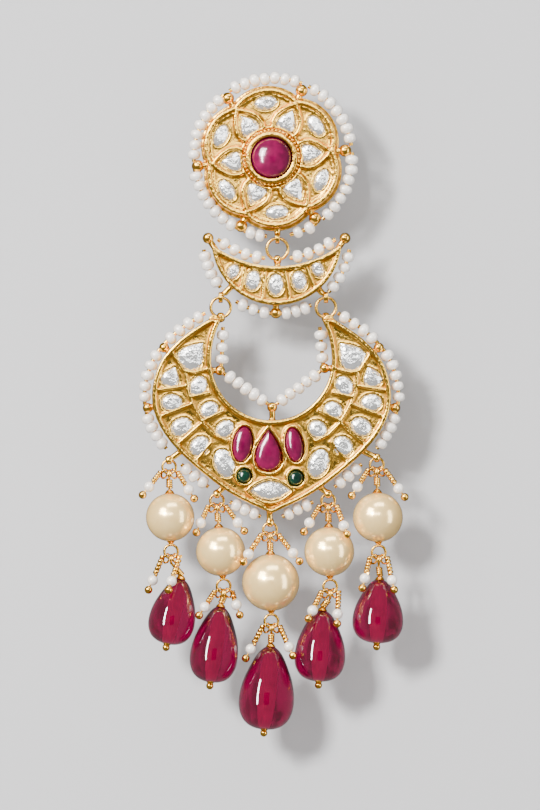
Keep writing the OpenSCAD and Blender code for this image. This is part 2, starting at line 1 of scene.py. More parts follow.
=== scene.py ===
# %% [markdown]
# This lesson dresses a chandbali, an earring of three gold plates that hang one under the other.
# The plates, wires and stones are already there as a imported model, the frame. Each new piece is made in
# the same place and takes over from one of the frame's nodes, so it fits with no trying out.
# The earring's lengths are in millimetres as seen from the front, and Blender gets them in metres. The
# camera, the lights and the paper are placed in metres.

# %% Load the frame
import json
import math
import random

import bpy
from mathutils import Matrix, Vector

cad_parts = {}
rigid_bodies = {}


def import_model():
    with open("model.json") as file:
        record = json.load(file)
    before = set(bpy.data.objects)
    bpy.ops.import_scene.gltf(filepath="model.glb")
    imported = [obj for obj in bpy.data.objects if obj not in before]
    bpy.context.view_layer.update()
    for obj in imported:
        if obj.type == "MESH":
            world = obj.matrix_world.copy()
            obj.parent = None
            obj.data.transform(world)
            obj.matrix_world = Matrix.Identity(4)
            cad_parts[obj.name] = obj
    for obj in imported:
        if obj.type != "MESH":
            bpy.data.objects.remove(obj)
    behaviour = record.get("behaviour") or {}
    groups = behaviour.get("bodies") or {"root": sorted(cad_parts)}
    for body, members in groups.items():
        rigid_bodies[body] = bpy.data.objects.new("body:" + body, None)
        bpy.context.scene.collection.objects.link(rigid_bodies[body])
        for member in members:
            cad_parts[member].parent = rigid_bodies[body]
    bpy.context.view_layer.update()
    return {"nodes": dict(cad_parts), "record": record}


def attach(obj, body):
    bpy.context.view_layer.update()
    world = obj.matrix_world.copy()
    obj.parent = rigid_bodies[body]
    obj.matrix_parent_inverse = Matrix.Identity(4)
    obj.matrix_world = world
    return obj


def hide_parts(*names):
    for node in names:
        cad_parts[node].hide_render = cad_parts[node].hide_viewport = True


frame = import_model()
MM = 0.001
MIDDLE = -1.2  # depth of the strings, wires and drops, which all hang in one plane
FACE = -2.4  # depth of the plates' front faces
chance = random.Random(7)

# %% [markdown]
# The camera looks straight at the front through a long lens, from so far away that the earring shows no
# perspective, as in a catalogue picture. The object fills about four fifths of the picture's height.
# The picture is upright, so the sensor's width counts along its height.

# %% Camera
FRAME_HEIGHT = 0.110
CAMERA_AWAY = 0.60
aim = Vector((-0.0002, MIDDLE * MM, -0.0335))
camera_data = bpy.data.cameras.new("camera")
camera_data.sensor_width = 36
camera_data.lens = camera_data.sensor_width * CAMERA_AWAY / FRAME_HEIGHT
camera = bpy.data.objects.new("camera", camera_data)
camera.location = aim - Vector((0, CAMERA_AWAY, 0))
camera.rotation_euler = (math.radians(90), 0, 0)
camera_data.clip_start = 0.01
bpy.context.scene.collection.objects.link(camera)
bpy.context.scene.camera = camera
print("lens", round(camera_data.lens), "mm")

# %% [markdown]
# Shader maths reads best as plain sums. A small class holds one socket of a node tree, and an operator on
# it adds the Math node that does the sum. Another holds a material and adds any other node by its type.


# %% Shader values
def plug(tree, socket, what):
    """Links a value to a socket, or gives the socket a plain number or colour."""
    if isinstance(what, Value):
        tree.links.new(what.socket, socket)
    else:
        socket.default_value = what


class Value:
    """One output socket, which can be added, multiplied and so on."""

    def __init__(self, tree, socket):
        self.tree, self.socket = tree, socket

    def sum(self, operation, first, second):
        node = self.tree.nodes.new("ShaderNodeMath")
        node.operation = operation
        for socket, part in zip(node.inputs, (first, second)):
            plug(self.tree, socket, part)
        return Value(self.tree, node.outputs[0])

    def __add__(self, other):
        return self.sum("ADD", self, other)

    __radd__ = __add__

    def __sub__(self, other):
        return self.sum("SUBTRACT", self, other)

    def __rsub__(self, other):
        return self.sum("SUBTRACT", other, self)

    def __mul__(self, other):
        return self.sum("MULTIPLY", self, other)

    __rmul__ = __mul__

    def __pow__(self, other):
        return self.sum("POWER", self, other)


class Finish:
    """A material with one Principled shader, and a method that adds any other node."""

    def __init__(self, name, **sockets):
        self.material = bpy.data.materials.new(name)
        self.material.use_nodes = True
        self.tree = self.material.node_tree
        self.shader = self.tree.nodes["Principled BSDF"]
        self.fill(self.shader, sockets)

    def fill(self, node, sockets):
        """Sets or links sockets, each given by its name or, where a node repeats names, by its number."""
        for key, what in sockets.items():
            plug(self.tree, node.inputs[key.replace("_", " ") if isinstance(key, str) else key], what)

    def add(self, kind, settings=None, output=0, **sockets):
        """Any other node: its type, its settings, which are set first, and what its sockets get."""
        node = self.tree.nodes.new("ShaderNode" + kind)
        for name, what in (settings or {}).items():
            setattr(node, name, what)
        self.fill(node, sockets)
        return Value(self.tree, node.outputs[output])

    def noise(self, size, detail=3):
        """Noise on the object's own coordinates, with features of about this size in millimetres."""
        place = self.add("TexCoord", output="Object")
        return self.add("TexNoise", Vector=place, Scale=1 / (size * MM), Detail=detail)

    def colour_mix(self, first, second, share):
        """Colour between two others. A Mix node's sockets repeat their names, so they go by number."""
        mix = self.add("Mix", {"data_type": "RGBA"}, output=2)
        self.fill(mix.socket.node, {0: share, 6: first, 7: second})
        return mix

    def bump(self, height, depth):
        """Small relief from a value between 0 and 1, this deep in millimetres."""
        relief = self.add("Bump", Height=height, Distance=depth * MM, Strength=1.0)
        self.fill(self.shader, {"Normal": relief})


def rgb(red, green, blue):
    return (red, green, blue, 1.0)


print("shader helpers ready")

# %% [markdown]
# Gilt brass, hand finished: bright and glossy where the edges were burnished, and rougher in the hollows,
# where the polishing stick doesn't reach. The hollows also get a much darker, redder colour: a painted
# shade for the shadow that falls between ridges and floors. Pointiness tells edges from hollows on a fine
# mesh, and a slow noise keeps the polish from being even. The low relief is what a hammer and a file
# leave.

# %% Gold
gold = Finish("gold", Metallic=1.0)
edge = gold.add("NewGeometry", output="Pointiness")
raised = gold.add("MapRange", Value=edge, From_Min=0.455, From_Max=0.515)
polish = gold.noise(0.9)
burnished = gold.colour_mix(rgb(1.0, 0.52, 0.05), rgb(1.0, 0.66, 0.12), polish)
# Painted shade: the hollows take a dark, reddish gold in place of the bright one, and rougher polish.
gold.fill(gold.shader, {"Base Color": gold.colour_mix(rgb(0.4, 0.13, 0.008), burnished, raised),
                        "Roughness": 0.46 - 0.28 * raised + 0.14 * (polish - 0.5)})
gold.bump(gold.noise(0.45, 2), 0.05)

wire_gold = Finish("wire gold", Metallic=1.0)
worn = wire_gold.noise(0.8)
wire_gold.fill(wire_gold.shader, {
    "Base Color": wire_gold.colour_mix(rgb(0.85, 0.4, 0.035), rgb(1.0, 0.65, 0.12), worn),
    "Roughness": 0.12 + 0.2 * worn})
wire_gold.bump(wire_gold.noise(0.3, 2), 0.012)
print("gold:", gold.material.name, "and", wire_gold.material.name)

# %% [markdown]
# The white stones are flat-cut and backed with silver foil, so light comes back out of them. The foil
# makes the white, and the clear, hard surface on top the sparkle. A metallic shader under a clear coat
# gives both, and every facet throws back its own piece of the room.

# %% White stones
white_stone = Finish("white stone", Metallic=0.75, Coat_Weight=1.0, Coat_Roughness=0.02)
foil = white_stone.noise(0.7, 3)
white_stone.fill(white_stone.shader, {
    "Base Color": white_stone.colour_mix(rgb(0.78, 0.79, 0.78), rgb(0.99, 0.99, 0.98), foil),
    "Roughness": 0.04 + 0.24 * foil})
white_stone.bump(foil, 0.2)
print("white stone:", len(white_stone.tree.nodes), "shader nodes")

# %% [markdown]
# The red and green stones are smooth and domed. Their colour lies deep, over foil too: darker where the
# glass is thick, and brighter where the foil shines through.

# %% Coloured stones
def coloured_stone(name, deep, bright):
    stone = Finish(name, Metallic=0.15, Coat_Weight=1.0, Coat_Roughness=0.02)
    cloud = stone.noise(1.2, 2)
    stone.fill(stone.shader, {"Base Color": stone.colour_mix(deep, bright, cloud ** 1.5),
                              "Roughness": 0.12 + 0.15 * cloud})
    return stone


red_stone = coloured_stone("red stone", rgb(0.06, 0.0, 0.018), rgb(0.3, 0.0, 0.075))
green_stone = coloured_stone("green stone", rgb(0.0, 0.008, 0.005), rgb(0.0, 0.05, 0.022))
print("coloured stones:", red_stone.material.name, "and", green_stone.material.name)

# %% [markdown]
# The drops are clear red glass: light goes in, bends and comes out, so the room behind shows upside down
# in them. Their drilled channel is ground, not polished, so it scatters the light that the glass bends
# into it, and reads as a brighter band down the middle. To follow all of that light would take a very
# long render, so the channel gets a faint glow of its own instead.

# %% Red glass
red_glass = Finish("red glass", Transmission_Weight=0.85, IOR=1.5, Coat_Weight=1.0, Coat_Roughness=0.01)
streak = red_glass.noise(2.2, 2)
red_glass.fill(red_glass.shader, {
    "Base Color": red_glass.colour_mix(rgb(0.2, 0.0, 0.035), rgb(0.3, 0.002, 0.055), streak),
    "Roughness": 0.02 + 0.03 * streak})
# Painted glow: the ground channel gives off red light of its own, in place of the light bent into it.
glowing_ground_glass = Finish("ground glass", Roughness=0.6, Emission_Strength=0.8)
frost = glowing_ground_glass.noise(0.8)
glowing_ground_glass.fill(glowing_ground_glass.shader, {
    "Base Color": glowing_ground_glass.colour_mix(rgb(0.25, 0.0, 0.08), rgb(0.45, 0.0, 0.15), frost),
    "Emission Color": glowing_ground_glass.colour_mix(rgb(0.4, 0.0, 0.14), rgb(0.95, 0.0, 0.34), frost)})
print("glass:", red_glass.material.name, "and", glowing_ground_glass.material.name)

# %% [markdown]
# Seed pearls are warm white and satin. The big pearls are cream, with a clear, faintly golden lacquer:
# a tinted coat is yellower where it is seen at a slant, which gives them their golden rim.

# %% Pearls
seed_pearl = Finish("seed pearl", Metallic=0.15, Coat_Weight=0.8, Coat_Roughness=0.1)
bead_tone = seed_pearl.noise(1.3, 2)
seed_pearl.fill(seed_pearl.shader, {
    "Base Color": seed_pearl.colour_mix(rgb(0.94, 0.84, 0.74), rgb(1.0, 0.97, 0.93), bead_tone),
    "Roughness": 0.26 + 0.15 * bead_tone})
big_pearl = Finish("big pearl", Metallic=0.5, Coat_Weight=1.0, Coat_Roughness=0.06,
                   Coat_Tint=rgb(1.0, 0.82, 0.5))
nacre = big_pearl.noise(0.9, 3)
big_pearl.fill(big_pearl.shader, {
    "Base Color": big_pearl.colour_mix(rgb(0.96, 0.78, 0.48), rgb(1.0, 0.9, 0.66), nacre),
    "Roughness": 0.18 + 0.08 * nacre})
big_pearl.bump(nacre, 0.006)
print("pearls:", seed_pearl.material.name, "and", big_pearl.material.name)

# %% [markdown]
# Some of the frame's own nodes stay visible: the rings, the pins and the beads of the small dangles. Each
# gets the finish that its slot in the frame's record names. Loose gold is wire here, so it takes the
# wire's gold, and the plates' gold waits for the new settings.

# %% Finishes of the frame's nodes
FINISHES = {"gold": wire_gold, "white_stone": white_stone, "red_stone": red_stone,
            "green_stone": green_stone, "seed_pearl": seed_pearl, "big_pearl": big_pearl,
            "ruby_glass": red_glass}
for part in frame["record"]["subparts"]:
    mesh = frame["nodes"][part["node"]].data
    mesh.materials.clear()
    mesh.materials.append(FINISHES[part["material_slot"]].material)
print("finishes:", ", ".join(sorted(FINISHES)))

# %% [markdown]
# New pieces start from a primitive in a known place. Operators act on all that is selected, so these
# helpers always deselect everything first. A finished piece has its place in its mesh, rides on the body
# that carries it, and hides the frame's nodes that it takes over.


# %% Helpers for pieces
def spot(x, z, y=MIDDLE):
    """Place in metres, from millimetres as seen from the front."""
    return Vector((x, y, z)) * MM


def only(thing):
    """Selects one thing alone."""
    bpy.ops.object.select_all(action="DESELECT")
    thing.select_set(True)
    bpy.context.view_layer.objects.active = thing
    return thing


def editing(thing, *steps):
    """Goes into edit mode with all selected, does each step, and comes back."""
    only(thing)
    bpy.ops.object.mode_set(mode="EDIT")
    bpy.ops.mesh.select_all(action="SELECT")
    for step in steps:
        step()
    bpy.ops.object.mode_set(mode="OBJECT")
    return thing


def joined(things, name):
    """Joins things into the first of them, under a new name."""
    bpy.ops.object.select_all(action="DESELECT")
    for thing in things:
        thing.select_set(True)
    bpy.context.view_layer.objects.active = things[0]
    if len(things) > 1:
        bpy.ops.object.join()
    things[0].name = things[0].data.name = name
    return things[0]


def twin(thing, matrix):
    """Copy with a mesh of its own, moved by a matrix."""
    copy = thing.copy()
    copy.data = thing.data.copy()
    copy.data.transform(matrix)
    bpy.context.scene.collection.objects.link(copy)
    return copy


def placed(at, front, size=(1, 1, 1)):
    """Matrix that stands a thing made up the Z axis at a place, with its Z along a direction."""
    turn = Vector(front).normalized().to_track_quat("Z", "Y").to_matrix().to_4x4()
    return Matrix.Translation(at) @ turn @ Matrix.Diagonal((*size, 1))


def finished(thing, name, finish, body, slot, *nodes, angle=40):
    """Last steps of a piece: name, shading, material, body, and the nodes that it replaces. The slot is
    not used.
    """
    only(thing)
    thing.name = thing.data.name = name
    bpy.ops.object.shade_smooth_by_angle(angle=math.radians(angle))
    if finish:
        thing.data.materials.clear()
        thing.data.materials.append(finish.material)
    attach(thing, body)
    if nodes:
        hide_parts(*nodes)
    print(f"{name}: {len(thing.data.polygons)} faces")
    return thing


def drawn_wire(places, radius, closed=False, sides=2):
    """Round wire from place to place: a point is extruded step by step, made a curve and given a bevel."""
    bpy.ops.object.select_all(action="DESELECT")
    bpy.ops.mesh.primitive_plane_add(size=0.1 * MM, location=places[0])
    wire = bpy.context.object

    def draw():
        bpy.ops.mesh.merge(type="CENTER")
        for here, there in zip(places, places[1:]):
            bpy.ops.mesh.extrude_vertices_move(TRANSFORM_OT_translate={"value": there - here})

    def close():
        bpy.ops.mesh.select_all(action="DESELECT")
        bpy.ops.object.mode_set(mode="OBJECT")
        for end in (0, len(places) - 1):
            wire.data.vertices[end].select = True
        bpy.ops.object.mode_set(mode="EDIT")
        bpy.ops.mesh.edge_face_add()

    editing(wire, draw, *([close] if closed else []))
    bpy.ops.object.transform_apply(location=True, rotation=True, scale=True)
    bpy.ops.object.convert(target="CURVE")
    wire.data.bevel_depth = radius * MM
    wire.data.bevel_resolution = sides
    wire.data.use_fill_caps = True
    bpy.ops.object.convert(target="MESH")
    return wire


print("helpers ready")

# %% [markdown]
# The same few curves give the edges, the ridges and the strings, so they are worked out once: a circle's
# arc, and a smooth curve through a few points, which is the outer edge of the lowest plate.


# %% Curves of the plates
def polar(radius, angle):
    return Vector((math.cos(math.radians(angle)), math.sin(math.radians(angle)))) * radius


def arc(centre, radius, start, end, steps):
    return [Vector(centre) + polar(radius, start + (end - start) * i / steps) for i in range(steps + 1)]


def smooth_curve(points, t):
    """Place on a smooth curve through the points, where t counts them from 0."""
    knots = [Vector(p) for p in points]
    knots = [2 * knots[0] - knots[1], *knots, 2 * knots[-1] - knots[-2]]
    i = min(int(t), len(points) - 2)
    u = t - i
    a, b, c, d = knots[i:i + 4]
    return 0.5 * (2 * b + (c - a) * u + (2 * a - 5 * b + 4 * c - d) * u * u
                  + (3 * b - a - 3 * c + d) * u * u * u)


CHAND_EDGE = [(8.5, -21.9), (12.3, -24.5), (15.1, -27.8), (16.2, -32.3), (15.1, -36.4), (11.7, -40.6),
              (5.8, -45.3), (0, -48.2)]


def chand_edge(t, out):
    """Place beside the right-hand edge of the lowest plate, this far outside it."""
    along = (smooth_curve(CHAND_EDGE, t + 0.01) - smooth_curve(CHAND_EDGE, t - 0.01)).normalized()
    return smooth_curve(CHAND_EDGE, t) + out * Vector((-along.y, along.x))


OPENING_CENTRE, OPENING_RADIUS, OPENING_HIGH = -27.4, 8.2, 10


def chand_opening(angle, out):
    """Place on the opening's edge: a half circle below its centre, drawn out upwards above it."""
    rise = (OPENING_HIGH if angle > 0 else OPENING_RADIUS) - out
    return Vector(((OPENING_RADIUS - out) * math.cos(math.radians(angle)),
                   OPENING_CENTRE + rise * math.sin(math.radians(angle))))


def at_depth(points, y):
    return [spot(p[0], p[1], y) for p in points]


def mirrored(points):
    return [Vector((-p[0], p[1])) for p in points]


print("edge of the lowest plate ends at", tuple(round(v, 2) for v in chand_edge(7, 0)))

# %% [markdown]
# Kundan work is made of thin gold walls that stand on a plate, with the gold pressed round each stone by
# hand, so nothing is quite straight or sharp. Here the walls are wires laid on a copy of the plate's
# solid. A voxel remesh then melts plate and wires into one skin, and a little smoothing softens the seams.


# %% Ridges and outlines
def swell(shape, angle):
    """How much of its full width an outline has, at an angle from its tip."""
    if shape == "pear":
        return 1.3 * abs(math.sin(math.radians(angle / 2)))
    return abs(math.sin(math.radians(angle))) if shape == "marquise" else 1.0


def stone_edge(stone, grow, steps=20):
    """Outline of a stone as seen from the front, this much larger all round."""
    x, z, long, wide, turn, shape = stone
    turned = Matrix.Rotation(math.radians(turn), 2)
    points = []
    for i in range(steps):
        a = 360 * i / steps
        points.append(Vector((x, z)) + turned @ Vector((
            -(wide / 2 + grow) * math.sin(math.radians(a)) * swell(shape, a),
            (long / 2 + grow) * math.cos(math.radians(a)))))
    return points


def ridge(points, radius=0.26, top=0.35, closed=False):
    """Wall of gold whose crest stands this far over the plate."""
    return drawn_wire(at_depth(points, FACE - top + radius), radius, closed)


def melted(node, ridges, name, voxel, keep):
    """A copy of the node's solid with its ridges, remeshed into one smooth skin."""
    plate = bpy.data.objects.new(name, frame["nodes"][node].data.copy())
    bpy.context.scene.collection.objects.link(plate)
    editing(plate, lambda: bpy.ops.mesh.remove_doubles(threshold=0.002 * MM))
    joined([plate, *ridges], name)
    for kind, settings in (("REMESH", {"mode": "VOXEL", "voxel_size": voxel * MM, "adaptivity": 0.0}),
                           ("SMOOTH", {"factor": 0.5, "iterations": 3}),
                           ("DECIMATE", {"ratio": keep})):
        bpy.ops.object.modifier_add(type=kind)
        modifier = plate.modifiers[-1]
        for key, value in settings.items():
            setattr(modifier, key, value)
        bpy.ops.object.modifier_apply(modifier=modifier.name)
    return plate


print("ridge helpers ready")

# %% [markdown]
# The stones' places and sizes were measured from the front: x, z, length, width, the turn of the tip from
# straight up, and the shape. The flower has six petal stones and six lobe stones, all turned alike.

# %% Stones' places
TURN = 6  # degrees that the flower is turned by
PETALS = [(*polar(5.35, TURN + 60 * k), 3.3, 2.7, TURN + 60 * k - 90, "pear") for k in range(6)]
LOBES = [(*polar(7.45, TURN + 30 + 60 * k), 2.0, 3.2, TURN + 60 * k - 60, "oval") for k in range(6)]
CRESCENT_STONES = [(-5.2, -15.45, 2.2, 1.7, -30, "oval"), (-2.5, -16.6, 2.8, 2.1, -12, "oval"),
                   (0.6, -17.2, 3, 2.2, 0, "oval"), (3.8, -16.7, 2.8, 2.1, 12, "oval"),
                   (6.3, -15.1, 2.3, 1.7, 30, "oval")]
LEFT_STONES = [(-10.7, -26.8, 4.4, 3.6, -40, "pear"), (-13.6, -29.7, 3, 2.6, -20, "pear"),
               (-13.5, -33.2, 2.4, 3, -5, "oval"), (-12.2, -36.5, 2.5, 3.1, 30, "oval"),
               (-9.7, -39.1, 2.6, 3, 45, "oval"), (-6.4, -41.4, 4, 2.8, 20, "oval"),
               (-9.9, -31, 3, 2.4, -25, "oval"), (-8.4, -34.2, 2.3, 2.7, 30, "oval"),
               (-6.3, -36.8, 2.3, 2.8, 40, "oval")]
RIGHT_STONES = [(-x, z, long, wide, -turn, shape) for x, z, long, wide, turn, shape in LEFT_STONES]
MARQUISE = (-0.2, -45.1, 5.6, 2.7, 90, "marquise")
RUBY_LEFT = (-3.9, -38.8, 4.8, 2.6, -8, "oval")
RUBY_CENTRE = (-0.4, -39.6, 5.6, 3.5, 0, "pear")
RUBY_RIGHT = (3.1, -38.9, 4.6, 2.3, 10, "oval")
EMERALD_LEFT = (-3.7, -43.1, 1.9, 1.9, 0, "oval")
EMERALD_RIGHT = (3.3, -43.4, 2, 2, 0, "oval")
FLOWER_RUBY = (0, 0, 5.5, 5.5, 0, "oval")
print("white stones:", len(PETALS + LOBES + CRESCENT_STONES + LEFT_STONES + RIGHT_STONES) + 1)

# %% [markdown]
# The white stones have a flat table and a few uneven facets, as old hand-cut ones do. A low cylinder is
# squeezed into the outline row by row, then extruded upwards twice, smaller and a little turned each
# time, so that every facet faces its own way. The red and green stones are smooth, so a sphere does.


# %% One stone of each shape
def model_stone(shape, twist):
    """Cut stone of unit length and width, girdle at height 0: a wall below, two tiers of facets above."""
    bpy.ops.object.select_all(action="DESELECT")
    bpy.ops.mesh.primitive_cylinder_add(vertices=12, radius=0.5 * MM, depth=1.0 * MM,
                                        location=(0, 0, -0.5 * MM))
    stone = bpy.context.object
    bpy.ops.object.transform_apply(location=True, rotation=True, scale=True)
    rows = sorted({round(vertex.co.y / MM, 3) for vertex in stone.data.vertices})

    def pick(test):
        bpy.ops.mesh.select_all(action="DESELECT")
        bpy.ops.object.mode_set(mode="OBJECT")
        for vertex in stone.data.vertices:
            vertex.select = test(vertex.co / MM)
        bpy.ops.object.mode_set(mode="EDIT")

    def outline():
        for row in rows:
            angle = math.degrees(math.acos(max(-1, min(1, 2 * row))))
            pick(lambda co: abs(co.y - row) < 0.01)
            bpy.ops.transform.resize(value=(max(swell(shape, angle), 0.02), 1, 1),
                                     center_override=(0, 0, 0))

    def crown():
        top = 0.0
        for size, rise, turn in ((0.8, 0.26, twist), (0.62, 0.2, -0.6 * twist)):
            pick(lambda co: co.z > top / MM - 0.001)
            bpy.ops.mesh.extrude_region_move(TRANSFORM_OT_translate={"value": (0, 0, rise * MM)})
            bpy.ops.transform.resize(value=(size, size, 1), center_override=(0, 0, 0))
            bpy.ops.transform.rotate(value=math.radians(turn), orient_axis="Z", center_override=(0, 0, 0))
            top += rise * MM
        bpy.ops.mesh.select_all(action="SELECT")
        bpy.ops.mesh.quads_convert_to_tris(quad_method="SHORTEST_DIAGONAL")

    bpy.context.tool_settings.mesh_select_mode = (True, False, False)
    return editing(stone, outline, crown)


def model_dome(shape):
    """Domed stone of unit length and width, and unit height each way from its girdle."""
    bpy.ops.object.select_all(action="DESELECT")
    bpy.ops.mesh.primitive_uv_sphere_add(segments=32, ring_count=16, radius=0.5 * MM)
    stone = bpy.context.object
    for vertex in stone.data.vertices:
        across = math.hypot(vertex.co.x, vertex.co.y)
        if across > 1e-9:
            angle = math.degrees(math.acos(max(-1, min(1, vertex.co.y / across))))
            vertex.co.x *= max(swell(shape, angle), 0.03)
    return stone


cut = {"oval": model_stone("oval", 15), "pear": model_stone("pear", 12),
       "marquise": model_stone("marquise", 6)}
domed = {"oval": model_dome("oval"), "pear": model_dome("pear")}
print("patterns:", len(cut), "cut and", len(domed), "domed")

# %% [markdown]
# A setter pushes every stone into its seat by hand, so none sits quite true. Each seat gets a copy of the
# stone of its shape, stretched to the seat's size and tipped a few degrees by chance. Chance starts from
# a fixed number, so the earring comes out the same each time.


# %% Stones in their seats
def set_stones(pattern, stones, heights, sink=0.1):
    """A copy of the modelled stone in each seat, a little out of true as a hand sets them."""
    copies = []
    for x, z, long, wide, turn, shape in stones:
        lean = (chance.uniform(-0.05, 0.05), -1, chance.uniform(-0.05, 0.05))
        spin = Matrix.Rotation(math.radians(turn), 4, "Z")
        copies.append(twin(pattern[shape], placed(spot(x, z, FACE + sink), lean) @ spin
                           @ Matrix.Diagonal((wide, long, heights, 1))))
    return copies


for name, stones, body, nodes in (
        ("petal_stones", PETALS, "flower", ["flower_stones_inner"]),
        ("lobe_stones", LOBES, "flower", ["flower_stones_outer"]),
        ("crescent_white_stones", CRESCENT_STONES, "crescent", ["crescent_stones"]),
        ("left_white_stones", LEFT_STONES, "chand", ["chand_stones_left"]),
        ("right_white_stones", RIGHT_STONES, "chand", ["chand_stones_right"]),
        ("marquise_stone", [MARQUISE], "chand", ["chand_marquise"])):
    finished(joined(set_stones(cut, stones, heights=1.0), name), name, white_stone, body, "white_stone",
             *nodes, angle=1)
for name, stone, finish, slot, node in (
        ("left_ruby", RUBY_LEFT, red_stone, "red_stone", "chand_ruby_left"),
        ("centre_ruby", RUBY_CENTRE, red_stone, "red_stone", "chand_ruby_centre"),
        ("right_ruby", RUBY_RIGHT, red_stone, "red_stone", "chand_ruby_right"),
        ("left_emerald", EMERALD_LEFT, green_stone, "green_stone", "chand_emerald_left"),
        ("right_emerald", EMERALD_RIGHT, green_stone, "green_stone", "chand_emerald_right")):
    finished(joined(set_stones(domed, [stone], heights=1.5), name), name, finish, "chand", slot, node)
heart = joined(set_stones(domed, [FLOWER_RUBY], heights=3.2, sink=-0.4), "flower_cabochon")
finished(heart, "flower_cabochon", red_stone, "flower", "red_stone", "flower_ruby")
for pattern in (*cut.values(), *domed.values()):
    bpy.data.objects.remove(pattern)

# %% [markdown]
# The flower: six lobes with a double rim, six pointed petal cells that reach from the middle to the
# valleys between the lobes, and a bezel with a ring of tiny grains round the red stone.


# %% Flower's setting
SEAT_RIM = 0.16  # the rim round a white stone: its radius, and how far outside the stone it runs
LOBE_AWAY = 3.9  # from the flower's middle to the centre of each lobe's arc


def lobed_line(radius, steps=9):
    """Line round the six lobes, each an arc of this radius."""
    reach = LOBE_AWAY * math.cos(math.radians(30)) + math.sqrt(radius ** 2 - (LOBE_AWAY / 2) ** 2)
    span = math.degrees(math.atan2(reach * 0.5, reach * math.cos(math.radians(30)) - LOBE_AWAY))
    line = []
    for k in range(6):
        a = TURN + 30 + 60 * k
        line += arc(polar(LOBE_AWAY, a), radius, a - span, a + span, steps)[:-1]
    return line


# One side of a petal's cell: distance from the middle, and half the cell's width there.
petal_side = [(3.7, 1.45), (4.6, 1.85), (5.6, 1.8), (6.5, 1.35), (7.4, 0.65), (8.0, 0)]
flower_ridges = [ridge(lobed_line(5.3), radius=0.32, top=0.38, closed=True),
                 ridge(lobed_line(4.72), radius=0.18, top=0.2, closed=True)]
for k in range(6):
    turned = Matrix.Rotation(math.radians(TURN + 60 * k), 2)
    side = [turned @ Vector(p) for p in petal_side]
    other = [turned @ Vector((r, -w)) for r, w in reversed(petal_side[:-1])]
    flower_ridges.append(ridge(side + other, radius=0.27, top=0.42))
for stone in PETALS + LOBES:
    flower_ridges.append(ridge(stone_edge(stone, SEAT_RIM), SEAT_RIM, top=0.08, closed=True))
for bezel, radius, top in ((3.18, 0.3, 0.95), (4.15, 0.2, 0.35)):
    flower_ridges.append(ridge(arc((0, 0), bezel, 0, 345, 23), radius, top, closed=True))
flower_gold = melted("flower_setting", flower_ridges, "flower_gold", voxel=0.11, keep=0.85)
finished(flower_gold, "flower_gold", gold, "flower", "gold", "flower_setting", angle=180)

# %% [markdown]
# A ring of tiny gold grains runs round the red stone's bezel, and balls are soldered to the plates' edges
# where the strings of pearls are tied. Both are spheres: one of each is made, and copies take the places.

# %% Grains and edge balls
bpy.ops.object.select_all(action="DESELECT")
bpy.ops.mesh.primitive_ico_sphere_add(subdivisions=2, radius=0.19 * MM)
grain = bpy.context.object
grains = [twin(grain, placed(spot(*p, FACE - 0.42), (0, -1, 0))) for p in arc((0, 0), 3.72, 0, 352, 44)]
bpy.data.objects.remove(grain)
finished(joined(grains, "bezel_grains"), "bezel_grains", wire_gold, "flower", "gold", angle=180)


def edge_balls(name, places, body, size=0.7):
    """Soldered balls between the strings, filed a little flat in front."""
    bpy.ops.object.select_all(action="DESELECT")
    bpy.ops.mesh.primitive_uv_sphere_add(segments=16, ring_count=10, radius=size * MM)
    ball = bpy.context.object
    for vertex in ball.data.vertices:
        vertex.co.z = min(vertex.co.z, 0.95 * size * MM)
    balls = [twin(ball, placed(spot(*p), (0, -1, 0))) for p in places]
    bpy.data.objects.remove(ball)
    finished(joined(balls, name), name, wire_gold, body, "gold", angle=30)


edge_balls("flower_balls", [polar(10.05, TURN + 60 * k) for k in range(6)], "flower", size=0.84)

# %% [markdown]
# The crescent is two arcs that meet in horns, with a wall between each two stones. It is made as the
# flower is: wires along the arcs and walls, melted into a copy of the plate.

# %% Crescent's setting
UPPER_CENTRE, LOWER_CENTRE = (0.69, -0.3), (0.69, -11.13)  # of the arcs of its upper and lower edges
crescent_ridges = [ridge(arc(LOWER_CENTRE, 8.52, -8.5, -171.5, 30), radius=0.3, top=0.36),
                   ridge(arc(UPPER_CENTRE, 14.7, -55.5, -124.5, 24), radius=0.3, top=0.36)]
for wall in (((-3.54, -14.5), (-4.2, -17.9)), ((-0.84, -15.1), (-1.25, -19.2)),
             ((1.71, -15.1), (2.5, -19.2)), ((4.56, -14.6), (5.9, -17.6))):
    crescent_ridges.append(ridge([Vector(p) for p in wall], radius=0.24, top=0.3))
for stone in CRESCENT_STONES:
    crescent_ridges.append(ridge(stone_edge(stone, SEAT_RIM), SEAT_RIM, top=0.1, closed=True))
crescent_gold = melted("crescent_setting", crescent_ridges, "crescent_gold", voxel=0.1, keep=0.9)
finished(crescent_gold, "crescent_gold", gold, "crescent", "gold", "crescent_setting", angle=180)
edge_balls("crescent_balls", [(9.99, -10.85), (-8.61, -10.85), (0.6, -21.0)], "crescent", size=0.76)

# %% [markdown]
# The lowest plate has two rows of cells on each side, a teardrop between two ovals in the middle, two
# small round seats and a marquise at the tip. The walls on the right mirror those on the left.

